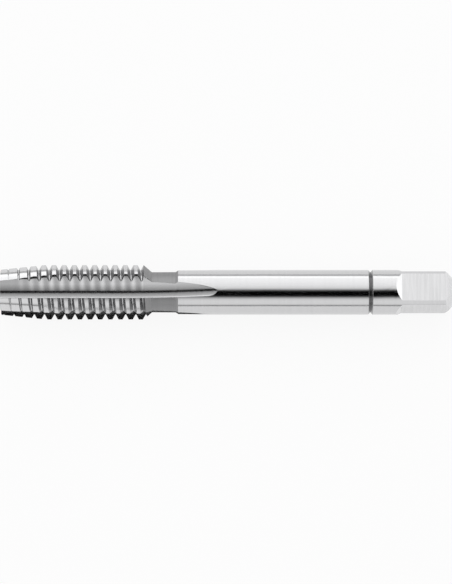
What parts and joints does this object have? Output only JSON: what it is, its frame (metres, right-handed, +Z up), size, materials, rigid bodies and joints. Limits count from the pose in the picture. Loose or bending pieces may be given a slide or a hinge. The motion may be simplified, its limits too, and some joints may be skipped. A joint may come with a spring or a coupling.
{
  "type": "thread tap",
  "caption": "Straight-fluted hand tap ground from one piece: tapered thread lead, neck, shank with a ring groove, and a driving square.",
  "frame": {"origin": "centre of the flat end of the cutting tip, on the axis", "axes": "+X along the axis from the cutting tip to the driving square; +Z up, with one flute straight up and one straight down, as it lies"},
  "size_m": [0.0704, 0.008, 0.008],
  "materials": {
    "ground_steel": "ground"
  },
  "bodies": {
    "root": {"tap": "ground_steel"}
  },
  "joints": []
}
